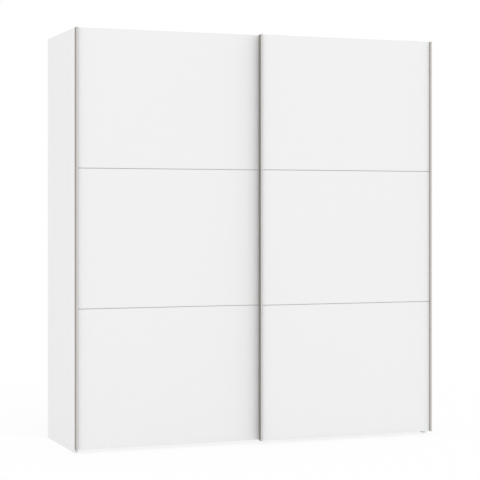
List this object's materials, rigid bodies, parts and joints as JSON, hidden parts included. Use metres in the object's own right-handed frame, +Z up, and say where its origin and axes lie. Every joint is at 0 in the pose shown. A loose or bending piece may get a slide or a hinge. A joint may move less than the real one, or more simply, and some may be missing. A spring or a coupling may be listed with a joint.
{
  "type": "sliding door wardrobe",
  "caption": "White wardrobe with overlay sliding doors of stacked plain panels and proud aluminium grip edges, hung from a roller track above shelves and hanging rails.",
  "frame": {"origin": "on the floor under the middle of the closed wardrobe's outer box", "axes": "+Z up, the doors face -Y, +X to the right as seen from the front"},
  "size_m": [2, 0.632, 2.16],
  "materials": {
    "carcass_board": "white melamine on particle board",
    "door_board": "white melamine on particle board, satin",
    "back_hardboard": "white lacquered hardboard",
    "grip_aluminium": "satin anodised extrusion",
    "track_aluminium": "mill finish extrusion",
    "plated_steel": "zinc plated strip",
    "bright_steel": "turned steel",
    "cast_zinc": "zinc die casting",
    "nylon": "natural nylon",
    "cap_plastic": "grey moulded plastic",
    "strip_plastic": "white extruded plastic",
    "buffer_rubber": "black rubber",
    "seal_pile": "grey brush pile",
    "rail_chrome": "chromed steel tube",
    "glide_plastic": "moulded plastic"
  },
  "bodies": {
    "carcass": {"back_board_left": "back_hardboard", "back_board_right": "back_hardboard", "back_joint_strip": "strip_plastic", "base_bearer": "carcass_board", "bottom_panel": "carcass_board", "cam_bolts": "bright_steel", "cam_locks": "cast_zinc", "centre_partition": "carcass_board", "floor_glides": "glide_plastic", "guide_rail": "track_aluminium", "left_clothes_rail": "rail_chrome", "left_hat_shelf": "carcass_board", "left_side_panel": "carcass_board", "plinth_front": "carcass_board", "plinth_rear": "carcass_board", "rail_sockets": "rail_chrome", "right_clothes_rail": "rail_chrome", "right_hat_shelf": "carcass_board", "right_side_panel": "carcass_board", "shelf_pins": "bright_steel", "top_panel": "carcass_board", "top_track": "track_aluminium", "track_stops": "buffer_rubber", "wall_brackets": "plated_steel"},
    "left_door": {"left_door_axles": "bright_steel", "left_door_grip_caps": "cap_plastic", "left_door_grip_left": "grip_aluminium", "left_door_grip_right": "grip_aluminium", "left_door_guide_left": "plated_steel", "left_door_guide_right": "plated_steel", "left_door_guide_sliders": "nylon", "left_door_hanger_left": "plated_steel", "left_door_hanger_right": "plated_steel", "left_door_joint_strips": "strip_plastic", "left_door_panel_lower": "door_board", "left_door_panel_middle": "door_board", "left_door_panel_upper": "door_board", "left_door_screws": "bright_steel"},
    "right_door": {"right_door_axles": "bright_steel", "right_door_dust_seal": "seal_pile", "right_door_grip_caps": "cap_plastic", "right_door_grip_left": "grip_aluminium", "right_door_grip_right": "grip_aluminium", "right_door_guide_left": "plated_steel", "right_door_guide_right": "plated_steel", "right_door_guide_sliders": "nylon", "right_door_hanger_left": "plated_steel", "right_door_hanger_right": "plated_steel", "right_door_joint_strips": "strip_plastic", "right_door_panel_lower": "door_board", "right_door_panel_middle": "door_board", "right_door_panel_upper": "door_board", "right_door_screws": "bright_steel"},
    "left_door_wheel_left": {"left_door_wheel_left": "nylon"},
    "left_door_wheel_right": {"left_door_wheel_right": "nylon"},
    "right_door_wheel_left": {"right_door_wheel_left": "nylon"},
    "right_door_wheel_right": {"right_door_wheel_right": "nylon"}
  },
  "joints": [
    {"name": "left_door_slide", "type": "slide", "parent": "carcass", "child": "left_door", "axis": [1, 0, 0], "range_m": [0, 0.948]},
    {"name": "right_door_slide", "type": "slide", "parent": "carcass", "child": "right_door", "axis": [1, 0, 0], "range_m": [-0.948, 0]},
    {"name": "left_door_wheel_left_roll", "type": "hinge", "parent": "left_door", "child": "left_door_wheel_left", "pos_m": [-0.88, -0.233, 2.1113], "axis": [0, 1, 0], "continuous": true},
    {"name": "left_door_wheel_right_roll", "type": "hinge", "parent": "left_door", "child": "left_door_wheel_right", "pos_m": [-0.1085, -0.233, 2.1113], "axis": [0, 1, 0], "continuous": true},
    {"name": "right_door_wheel_left_roll", "type": "hinge", "parent": "right_door", "child": "right_door_wheel_left", "pos_m": [0.1085, -0.199, 2.1113], "axis": [0, 1, 0], "continuous": true},
    {"name": "right_door_wheel_right_roll", "type": "hinge", "parent": "right_door", "child": "right_door_wheel_right", "pos_m": [0.88, -0.199, 2.1113], "axis": [0, 1, 0], "continuous": true}
  ],
  "couplings": [
    {"joint": "left_door_wheel_left_roll", "follows": "left_door_slide", "rad_per_m": 83.333},
    {"joint": "left_door_wheel_right_roll", "follows": "left_door_slide", "rad_per_m": 83.333},
    {"joint": "right_door_wheel_left_roll", "follows": "right_door_slide", "rad_per_m": 83.333},
    {"joint": "right_door_wheel_right_roll", "follows": "right_door_slide", "rad_per_m": 83.333}
  ]
}
